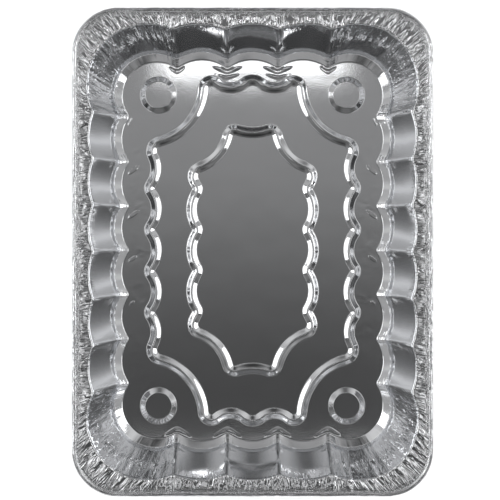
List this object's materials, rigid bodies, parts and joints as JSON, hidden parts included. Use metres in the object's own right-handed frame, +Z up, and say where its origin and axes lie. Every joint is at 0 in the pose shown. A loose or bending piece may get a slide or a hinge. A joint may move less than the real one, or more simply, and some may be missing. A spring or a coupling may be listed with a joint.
{
  "type": "foil roasting pan",
  "caption": "Deep rectangular roasting pan pressed from aluminium foil, with fluted walls, gathered corners, a rolled rim and scalloped beads on its floor.",
  "frame": {"origin": "middle of the underside of the floor, where the pan rests", "axes": "+X across the pan, +Y along its length, +Z up out of its open top"},
  "size_m": [0.3, 0.406, 0.0659],
  "materials": {
    "foil": "satin rolled foil, bright on its creases"
  },
  "bodies": {
    "root": {"foil_pan": "foil"}
  },
  "joints": []
}
